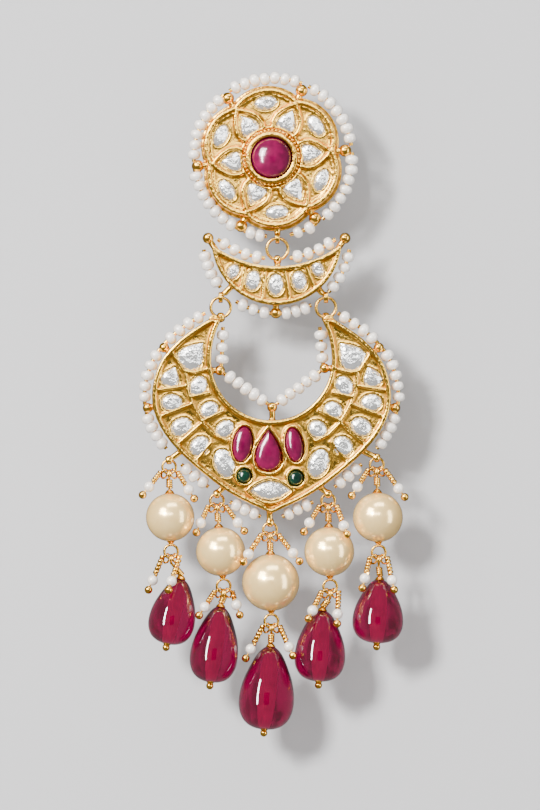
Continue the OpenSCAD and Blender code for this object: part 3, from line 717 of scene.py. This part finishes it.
# %% Lowest plate's setting
INSIDE = -0.3  # the ridges along the edges stand this far in from them
edge_line = [chand_edge(7 * i / 28, INSIDE) for i in range(29)]
opening_angles = [-212 + 244 * i / 34 for i in range(35)]
opening_line = [chand_opening(a if a >= -180 else a + 360, INSIDE) for a in opening_angles]
WALLS = [[(-15.3, -31.45), (-11.64, -30.9)], [(-14.9, -34.95), (-10.74, -33.3)],
         [(-12.8, -38.9), (-9.54, -36)], [(-10.4, -41.3), (-8.04, -38.4)],
         [(-11.64, -29.1), (-11.34, -31.8), (-10.44, -33.9), (-9.24, -36), (-7.74, -37.5), (-5.94, -38.4)],
         [(-13.4, -26.5), (-11.94, -28.8), (-10.74, -29.1), (-8.7, -28.6)],
         [(-11.04, -32.4), (-8.34, -31.8)], [(-9.54, -35.7), (-6.4, -34.2)]]
chand_ridges = [ridge(line, radius=0.34, top=0.4)
                for line in (edge_line, mirrored(edge_line[:-1]), opening_line)]
for wall in WALLS:
    line = [Vector(p) for p in wall]
    chand_ridges += [ridge(line, radius=0.24, top=0.3), ridge(mirrored(line), radius=0.24, top=0.3)]
for stone, grow, radius, top in (
        [(s, SEAT_RIM, SEAT_RIM, 0.08) for s in LEFT_STONES + RIGHT_STONES]
        + [(s, 0.3, 0.22, 0.28) for s in (RUBY_LEFT, RUBY_RIGHT, EMERALD_LEFT, EMERALD_RIGHT)]
        + [(RUBY_CENTRE, 0.45, 0.26, 0.36), (MARQUISE, 0.35, 0.24, 0.32)]):
    chand_ridges.append(ridge(stone_edge(stone, grow), radius, top, closed=True))
chand_gold = melted("chand_setting", chand_ridges, "chand_gold", voxel=0.12, keep=0.62)
finished(chand_gold, "chand_gold", gold, "chand", "gold", "chand_setting", angle=180)
edge_knobs = [chand_edge(t, 0.75) for t in (1.55, 3.35)]
edge_balls("chand_balls", edge_knobs + mirrored(edge_knobs) + [(0.1, -33.8), (-7, -28.8), (7.2, -28.5)],
           "chand")

# %% [markdown]
# Seed pearls are strung on fine gold wire between the knobs. One pearl is modelled from a sphere, shorter
# along the wire than it is wide and a little barrel-shaped, with few faces, because there are hundreds of
# them. Each run takes as many as fit. No two are quite the same size, and none sits quite straight.

# %% Strings of seed pearls
PITCH = 1.44  # from one pearl to the next
BEAD_WIDE, BEAD_LONG = 0.9, 0.67  # half a pearl's width, and half its length along the wire
STRING_WIRE, WIRE_END = 0.3, 0.3  # the wire's radius, and how far it reaches out of a run
bpy.ops.object.select_all(action="DESELECT")
bpy.ops.mesh.primitive_uv_sphere_add(segments=14, ring_count=10, radius=BEAD_WIDE * MM)
bead = bpy.context.object
for vertex in bead.data.vertices:
    barrel = abs(vertex.co.z / (BEAD_WIDE * MM)) ** 0.7 * BEAD_LONG * MM
    vertex.co.z = math.copysign(barrel, vertex.co.z)


def strung(path):
    """Pearls along a path of [x, z], and the wire through them."""
    places = at_depth(path, MIDDLE)
    lengths = [0.0]
    for here, there in zip(places, places[1:]):
        lengths.append(lengths[-1] + (there - here).length)
    count = max(1, round(lengths[-1] / (PITCH * MM)))
    pearls = []
    for i in range(count):
        goal = (i + 0.5) * lengths[-1] / count
        j = max(k for k in range(len(places) - 1) if lengths[k] <= goal)
        way = (places[j + 1] - places[j]).normalized()
        size = chance.uniform(0.93, 1.04)
        lean = way + Vector([chance.uniform(-0.14, 0.14) for _ in range(3)])
        at = places[j] + way * (goal - lengths[j])
        at += Vector((-way.z, chance.uniform(-0.7, 0.7), way.x)) * chance.uniform(-0.06, 0.06) * MM
        pearls.append(twin(bead, placed(at, lean, (size, size, chance.uniform(0.94, 1.04)))))
    before = places[0] + (places[0] - places[1]).normalized() * WIRE_END * MM
    after = places[-1] + (places[-1] - places[-2]).normalized() * WIRE_END * MM
    return pearls, drawn_wire([before, *places, after], STRING_WIRE, sides=1)


def edge_run(start, end, side):
    """Line of a run outside the lowest plate's edge, on the right (1) or the left (-1)."""
    run = [chand_edge(start + (end - start) * i / 8, 1.05) for i in range(9)]
    return run if side > 0 else mirrored(run)


# The flower's strings run round a point a little up and right of its middle.
FLOWER_RUNS = [arc((0.2, 0.15), 10.75, a, b, 8) for a, b in (
    (10.1, 61.9), (70.1, 121.9), (130.1, 181.9), (190.1, 241.9), (250.1, 264.0), (283.9, 301.9),
    (310.1, 361.9))]
CRESCENT_RUNS = [arc(UPPER_CENTRE, 13.35, *ends, 8) for ends in ((-125.5, -98), (-81, -54.5))] + [
    arc(LOWER_CENTRE, 9.95, *ends, 8)
    for ends in ((-171, -141.5), (-122, -95), (-86, -63.5), (-43.5, -9))]
INNER_RUNS = [[Vector(p) for p in run] for run in (
    ((-6.6, -23.2), (-6.8, -28.1)), ((6.6, -23.2), (7.0, -27.9)),
    ((-6.2, -29.4), (-0.7, -33.2)), ((6.4, -29.1), (0.9, -33.2)))]
OUTER_ENDS = [(0.05, 1.38), (1.72, 3.18), (3.52, 4.52), (5.08, 5.62), (6.16, 6.78)]
for name, runs, body, node in (
        ("flower_seed", FLOWER_RUNS, "flower", "flower_pearls"),
        ("crescent_seed", CRESCENT_RUNS, "crescent", "crescent_pearls"),
        ("inner_seed", INNER_RUNS, "chand", "chand_pearls_inner"),
        ("left_seed", [edge_run(*e, -1) for e in OUTER_ENDS], "chand", "chand_pearls_outer_left"),
        ("right_seed", [edge_run(*e, 1) for e in OUTER_ENDS], "chand", "chand_pearls_outer_right")):
    made = [strung(run) for run in runs]
    pearls = joined([pearl for run, _ in made for pearl in run], name + "_pearls")
    finished(pearls, name + "_pearls", seed_pearl, body, "seed_pearl", node, angle=180)
    wires = joined([wire for _, wire in made], name + "_wires")
    finished(wires, name + "_wires", wire_gold, body, "gold", angle=180)
    print(name, sum(len(run) for run, _ in made), "pearls")
bpy.data.objects.remove(bead)

# %% [markdown]
# Each drop is a big pearl on an eye pin over a red glass drop on a head pin. The table gives the places:
# jump ring x, z; big pearl x, z, radius; glass drop's top x, z, tip x, z and widest radius. A pearl is a
# sphere whose poles are pressed in a little, where it is drilled.

# %% Big pearls
DROPS = [(-13.9, -41.9, -13.75, -48.75, 3.3, -12.3, -57.1, -14.2, -65.9, 3.2),
         (-7.4, -46.5, -6.9, -53.4, 3.35, -6.9, -60.9, -8.3, -71.1, 3.3),
         (-0.2, -50.4, -0.1, -57.6, 3.9, -0.1, -66.3, -1, -77.5, 3.8),
         (7.7, -46.5, 7.85, -53.4, 3.4, 6.9, -61.4, 6.4, -71, 3.5),
         (14.3, -41.6, 14.45, -48.75, 3.4, 14.7, -57.2, 14.3, -65.8, 3.5)]
bpy.ops.object.select_all(action="DESELECT")
bpy.ops.mesh.primitive_uv_sphere_add(segments=48, ring_count=32, radius=MM)
round_pearl = bpy.context.object
for vertex in round_pearl.data.vertices:
    if abs(vertex.co.z) > 0.992 * MM:
        vertex.co.z *= 0.95
for i, (ring_x, ring_z, x, z, radius, *_) in enumerate(DROPS):
    pearl = twin(round_pearl, placed(spot(x, z), spot(ring_x, ring_z - 1) - spot(x, z),
                                     (radius, radius, radius * 0.995)))
    finished(pearl, f"pearl_{i + 1}", big_pearl, "chand", "big_pearl", f"drop{i + 1}_big_pearl", angle=180)
bpy.data.objects.remove(round_pearl)

# %% [markdown]
# The glass drops are turned shapes: a ring of points is extruded and scaled step by step along the
# profile, from the mouth of the channel at the tip round the outside to the top, and back down the
# channel, which is wider inside than at its mouths. A subdivision then makes the glass round, which
# matters, because glass shows every facet.

# %% Red glass drops
PROFILE = [(0.22, -0.004), (0.42, 0.012), (0.64, 0.045), (0.83, 0.11), (0.95, 0.2), (1.0, 0.3),
           (0.985, 0.42), (0.93, 0.53), (0.83, 0.64), (0.68, 0.76), (0.52, 0.87), (0.35, 0.955),
           (0.16, 1.0)]
CHANNEL = [(0, 1.0), (0, 0.96), (0.15, 0.86), (0.21, 0.7), (0.23, 0.5), (0.22, 0.3), (0.16, 0.12),
           (0, 0.04)]
BORE = 0.27  # radius of the channel's mouths
GROUND_WIDE, GROUND_ENDS = 0.26, (0.08, 0.92)  # where the glass is ground: shares of width and length


def model_glass(long, wide):
    """Turned drop of this length and widest radius, its tip at the origin and its top up the Z axis."""
    bpy.ops.object.select_all(action="DESELECT")
    bpy.ops.mesh.primitive_circle_add(vertices=40, radius=BORE * MM)
    glass = bpy.context.object

    def turn():
        radius, height = BORE, 0.0
        outline = [(max(r * wide, BORE + 0.1), h * long) for r, h in PROFILE]
        channel = [(max(r * wide, BORE), h * long) for r, h in CHANNEL]
        for r, h in outline + channel:
            bpy.ops.mesh.extrude_region_move(TRANSFORM_OT_translate={"value": (0, 0, (h - height) * MM)})
            bpy.ops.transform.resize(value=(r / radius, r / radius, 1), center_override=(0, 0, 0))
            radius, height = r, h
        bpy.ops.mesh.select_all(action="SELECT")
        bpy.ops.mesh.remove_doubles(threshold=0.01 * MM)

    def close():
        bpy.ops.mesh.select_all(action="DESELECT")
        bpy.ops.mesh.select_non_manifold()
        bpy.ops.mesh.bridge_edge_loops()
        bpy.ops.mesh.select_all(action="SELECT")
        bpy.ops.mesh.normals_make_consistent(inside=False)

    editing(glass, turn, close)
    bpy.ops.object.modifier_add(type="SUBSURF")
    glass.modifiers[-1].levels = glass.modifiers[-1].render_levels = 1
    bpy.ops.object.modifier_apply(modifier=glass.modifiers[-1].name)
    return glass


for i, (*_, top_x, top_z, tip_x, tip_z, wide) in enumerate(DROPS):
    top, tip = spot(top_x, top_z), spot(tip_x, tip_z)
    length = (top - tip).length
    glass = model_glass(length / MM, wide)
    glass.data.materials.append(red_glass.material)
    glass.data.materials.append(glowing_ground_glass.material)
    for face in glass.data.polygons:
        inner = math.hypot(face.center.x, face.center.y) < GROUND_WIDE * wide * MM
        ground = inner and GROUND_ENDS[0] < face.center.z / length < GROUND_ENDS[1]
        face.material_index = int(ground)
    glass.data.transform(placed(tip, top - tip))
    finished(glass, f"glass_drop_{i + 1}", None, "chand", "ruby_glass", f"drop{i + 1}_ruby", angle=180)

# %% [markdown]
# The drops are wired by hand: at each loop the wire's tail is wound round the neck in a close coil, and a
# small bead cap sits where the wire goes into a pearl or a drop. One coil and one cap are modelled, and
# copies go to every neck. The small dangles beside the rings have finer coils of their own. Their table
# gives the ring they hang on, the side, the lower end's x and z, and how far forward that end stands.

# %% Wire wraps and bead caps
DANGLES = [[("upper", -1, -17.5, -45.7, 0), ("upper", 1, -10.5, -46.2, 0),
            ("lower", -1, -16.7, -58.6, 0), ("lower", 1, -13.9, -58.5, 2.8)],
           [("upper", -1, -10.2, -50.8, 0), ("upper", 1, -3.7, -50.6, 0),
            ("lower", -1, -9.8, -62, 1.5), ("lower", 1, -4.3, -62, 0.4)],
           [("upper", -1, -3.8, -54.7, 2.7), ("upper", 1, 3.8, -54.7, 0.6),
            ("lower", -1, -3.5, -67.9, 0), ("lower", 1, 2.9, -67.4, 2.3)],
           [("upper", -1, 4.4, -50.7, 0), ("upper", 1, 10.2, -51, 2.4),
            ("lower", -1, 5, -62.4, 2.5), ("lower", 1, 8.9, -63.1, 2.1)],
           [("upper", -1, 10.9, -45.8, 0), ("upper", 1, 18.1, -46, 0),
            ("lower", -1, 12.3, -58.3, 1.6), ("lower", 1, 16.6, -58.5, 2.1)]]
RING, LOOP, DANGLE_LOOP = 0.92, 0.55, 0.45  # radii of the jump rings and of the pins' and dangles' loops
LOOP_STEP = 1.03  # from a jump ring's middle down to the middle of the loop in it
RING_BELOW, NECK = 1.35, 1.3  # from a pearl down to its lower ring, and from a loop down to its coil
DANGLE_REST = 2.15  # what a dangle's bead and its ends take of its length
FINE_TURNS, FINE_PITCH = 5, 0.35
SPARE = 0.62  # radius of the spare loops beside the jump rings


def model_coil(turns, wide, pitch, wire):
    """Close coil that starts at the origin and climbs the Z axis."""
    steps = int(turns * 10)
    return drawn_wire([Vector((wide * math.cos(0.2 * math.pi * i), wide * math.sin(0.2 * math.pi * i),
                               pitch * i / 10)) * MM for i in range(steps + 1)], wire, sides=1)


def model_cap(wide, high):
    """Bead cap: a low dome, open side down, whose rim is pressed out a little."""
    bpy.ops.object.select_all(action="DESELECT")
    bpy.ops.mesh.primitive_circle_add(vertices=16, radius=wide * MM, fill_type="NGON")
    cap = bpy.context.object

    def press():
        for size, rise in ((1.12, 0.12), (0.86, 0.14), (0.85, 0.3), (0.7, 0.26), (0.6, 0.18)):
            bpy.ops.mesh.extrude_region_move(TRANSFORM_OT_translate={"value": (0, 0, rise * high * MM)})
            bpy.ops.transform.resize(value=(size, size, 1), center_override=(0, 0, 0))
        bpy.ops.mesh.select_all(action="SELECT")
        bpy.ops.mesh.normals_make_consistent(inside=False)

    return editing(cap, press)


coil = model_coil(turns=4, wide=0.34, pitch=0.3, wire=0.16)
fine_coil = model_coil(FINE_TURNS, wide=0.26, pitch=FINE_PITCH, wire=0.16)
spare = drawn_wire([Vector((*polar(SPARE, a), 0)) * MM for a in range(0, 350, 20)], 0.15, closed=True,
                   sides=1)
cap = model_cap(wide=0.62, high=0.55)
for i, (drop, rows) in enumerate(zip(DROPS, DANGLES)):
    ring_x, ring_z, x, z, radius, top_x, top_z, tip_x, tip_z, _ = drop
    ring = spot(ring_x, ring_z)
    loop, pearl = spot(ring_x, ring_z - LOOP_STEP), spot(x, z)
    up = (loop - pearl).normalized()
    low_ring = pearl - up * (radius + RING_BELOW) * MM
    top, tip = spot(top_x, top_z), spot(tip_x, tip_z)
    glass_up = (top - tip).normalized()
    elbow = top + glass_up * 0.5 * MM
    neck = low_ring - Vector((0, 0, LOOP_STEP + LOOP)) * MM
    parts = [twin(coil, placed(loop - up * (LOOP + NECK) * MM, up)),
             twin(coil, placed(elbow, neck - elbow)),
             twin(cap, placed(pearl + up * (radius - 0.08) * MM, up)),
             twin(cap, placed(pearl - up * (radius - 0.08) * MM, -up, (0.8, 0.8, 0.8))),
             twin(cap, placed(top - glass_up * 0.06 * MM, glass_up)),
             twin(cap, placed(tip + glass_up * 0.1 * MM, -glass_up, (0.9, 0.9, 0.8)))]
    for at in (ring, low_ring):
        for side in (-1, 1):
            beside = at + Vector((SPARE * side, -0.1, -0.95)) * MM
            parts.append(twin(spare, placed(beside, (side, -0.9, 0.5))))
    for level, side, end_x, end_z, forward in rows:
        way = Vector((side * math.sin(math.radians(58)), 0, -math.cos(math.radians(58))))
        start = (ring if level == "upper" else low_ring) + way * (RING + DANGLE_LOOP) * MM
        end = spot(end_x, end_z, MIDDLE - forward)
        stretch = ((end - start).length / MM - DANGLE_REST) / (FINE_TURNS * FINE_PITCH)
        parts.append(twin(fine_coil, placed(start, end - start, (1, 1, stretch))))
    finished(joined(parts, f"wraps_{i + 1}"), f"wraps_{i + 1}", wire_gold, "chand", "gold", angle=60)
for pattern in (coil, fine_coil, cap, spare):
    bpy.data.objects.remove(pattern)

# %% [markdown]
# Soft studio light: a large window-like softbox at the upper left, and weaker ones in front, above and at
# the right. Gold, pearls and glass show the lights' shapes, so their sizes matter as much as their power.
# Light linking keeps a light to some things or off them, as a photographer does with small black flags.
# Here a narrow strip draws one bright line on the glass and the domed stones, and a small lamp puts one
# round spot on the big pearls.


# %% Lights
def softbox(name, at, size, power, colour=(1, 1, 1)):
    """Rectangular light of this many watts, placed from the camera's aim and turned to face it."""
    data = bpy.data.lights.new(name, "AREA")
    data.shape = "RECTANGLE"
    data.size, data.size_y = size
    data.energy, data.color = power, colour
    light = bpy.data.objects.new(name, data)
    light.location = aim + Vector(at)
    light.rotation_euler = (-Vector(at)).to_track_quat("-Z", "Y").to_euler()
    bpy.context.scene.collection.objects.link(light)
    return light


def link_light(light, things, state="INCLUDE"):
    """Keeps a light to a few things, or off them with EXCLUDE. What it leaves dark still casts shadows."""
    group = bpy.data.collections.new(light.name + " receivers")
    for thing in things:
        group.objects.link(thing)
    light.light_linking.receiver_collection = group
    for receiver in group.collection_objects:
        receiver.light_linking.link_state = state


key = softbox("key", (-0.30, -0.36, 0.24), (0.22, 0.26), 6.0, (1.0, 0.98, 0.95))
front = softbox("front", (-0.04, -0.5, 0.15), (0.3, 0.1), 1.0)
above = softbox("top", (0.05, -0.22, 0.45), (0.36, 0.16), 2.0)
fill = softbox("fill", (0.42, -0.26, 0.02), (0.16, 0.45), 1.8, (0.96, 0.98, 1.0))
strip = softbox("strip", (-0.30, -0.38, 0.09), (0.055, 0.36), 4.2)
lamp = softbox("lamp", (-0.24, -0.46, 0.16), (0.09, 0.10), 3.6)
drops = [bpy.data.objects[f"glass_drop_{i + 1}"] for i in range(len(DROPS))]
pearls = [bpy.data.objects[f"pearl_{i + 1}"] for i in range(len(DROPS))]
gems = [bpy.data.objects[name] for name in (
    "left_ruby", "centre_ruby", "right_ruby", "left_emerald", "right_emerald", "flower_cabochon")]
link_light(strip, drops + gems)
link_light(lamp, pearls)
world = bpy.data.worlds.new("studio")
world.use_nodes = True
world.node_tree.nodes["Background"].inputs["Color"].default_value = rgb(0.22, 0.22, 0.225)
bpy.context.scene.world = world
print("lights:", ", ".join(light.name for light in (key, front, above, fill, strip, lamp)))

# %% [markdown]
# The earring hangs before a sheet of pale paper, over another. Paper is rough and nearly even in tone. It
# is clear when seen from behind, so the earring's back can be looked at too, and the gold and glass don't
# mirror it. It has two lights of its own, and the softboxes pass it by, so its tone and the soft shadow
# on it don't depend on the light that the gold needs.


# %% Floor and backdrop
paper = Finish("paper", Roughness=0.9)
paper.fill(paper.shader, {"Base Color": paper.colour_mix(rgb(0.60, 0.595, 0.60), rgb(0.64, 0.635, 0.64),
                                                         paper.noise(60, 1))})
see_through = paper.add("MixShader", Fac=paper.add("NewGeometry", output="Backfacing"))
paper.fill(see_through.socket.node, {1: Value(paper.tree, paper.shader.outputs[0]),
                                     2: paper.add("BsdfTransparent")})
paper.fill(paper.tree.nodes["Material Output"], {"Surface": see_through})


def sheet_of_paper(name, at, size, turn):
    bpy.ops.object.select_all(action="DESELECT")
    bpy.ops.mesh.primitive_plane_add(size=size, location=at, rotation=turn)
    sheet = bpy.context.object
    sheet.name = name
    sheet.data.materials.append(paper.material)
    bpy.ops.object.transform_apply(location=True, rotation=True, scale=True)
    return sheet


backdrop = sheet_of_paper("backdrop", (0, 0.024, 0), 2.0, (math.radians(90), 0, 0))
floor = sheet_of_paper("floor", (0, 0, -0.1), 3.0, (0, 0, 0))
floor.visible_glossy = backdrop.visible_glossy = False
link_light(softbox("shade", (-0.11, -0.55, 0.09), (0.05, 0.05), 5.4), [backdrop, floor])
link_light(softbox("wash", (0.0, -0.7, 0.3), (0.9, 0.9), 4.0), [backdrop, floor])
link_light(key, [backdrop, floor, *drops], "EXCLUDE")
for light in (front, above, fill):
    link_light(light, [backdrop, floor, *drops, *gems], "EXCLUDE")
print("stage:", backdrop.name, "and", floor.name)

# %% [markdown]
# Polished things look bright only beside something dark. A black card stands behind the camera, where the
# pearls and the stones' flat tables mirror it in their middles. It casts no shadow and isn't seen.

# %% Black card
CARD_AWAY = 0.8
bpy.ops.object.select_all(action="DESELECT")
bpy.ops.mesh.primitive_plane_add(size=0.32, location=aim - Vector((0, CARD_AWAY, 0)),
                                 rotation=(math.radians(90), 0, 0))
card = bpy.context.object
bpy.ops.object.transform_apply(location=True, rotation=True, scale=True)
card.name = "black card"
black = Finish("black card", Roughness=1.0, Specular_IOR_Level=0.0)
black.fill(black.shader, {"Base Color": black.colour_mix(rgb(0.01, 0.01, 0.01), rgb(0.02, 0.02, 0.02),
                                                         black.noise(30))})
card.data.materials.append(black.material)
card.visible_camera = card.visible_diffuse = card.visible_shadow = False
print("card:", card.name)
